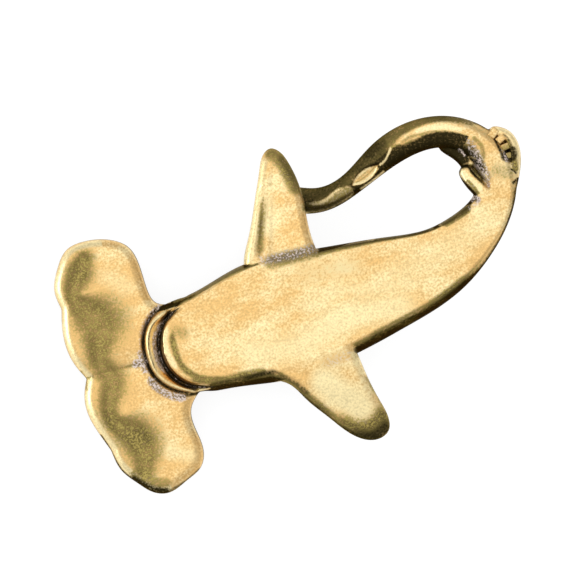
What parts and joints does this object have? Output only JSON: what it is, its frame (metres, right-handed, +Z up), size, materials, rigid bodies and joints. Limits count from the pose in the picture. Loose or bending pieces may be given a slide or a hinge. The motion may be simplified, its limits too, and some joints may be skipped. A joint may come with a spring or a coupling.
{
  "type": "hammerhead shark figurine",
  "caption": "Cast brass hammerhead shark with a flat filed belly and a tail bent round into a hook, lying on its back.",
  "frame": {"origin": "centre of the bounding box's bottom face, on the surface the casting lies on", "axes": "+X from the hammer to the tail, +Y towards the side the tail hook bends to, +Z up, with the belly up"},
  "size_m": [0.0628, 0.0402, 0.0171],
  "materials": {
    "aged_brass": "satin cast brass, worn bright on the belly, dark olive in the hollows"
  },
  "bodies": {
    "root": {"shark_casting": "aged_brass"}
  },
  "joints": []
}
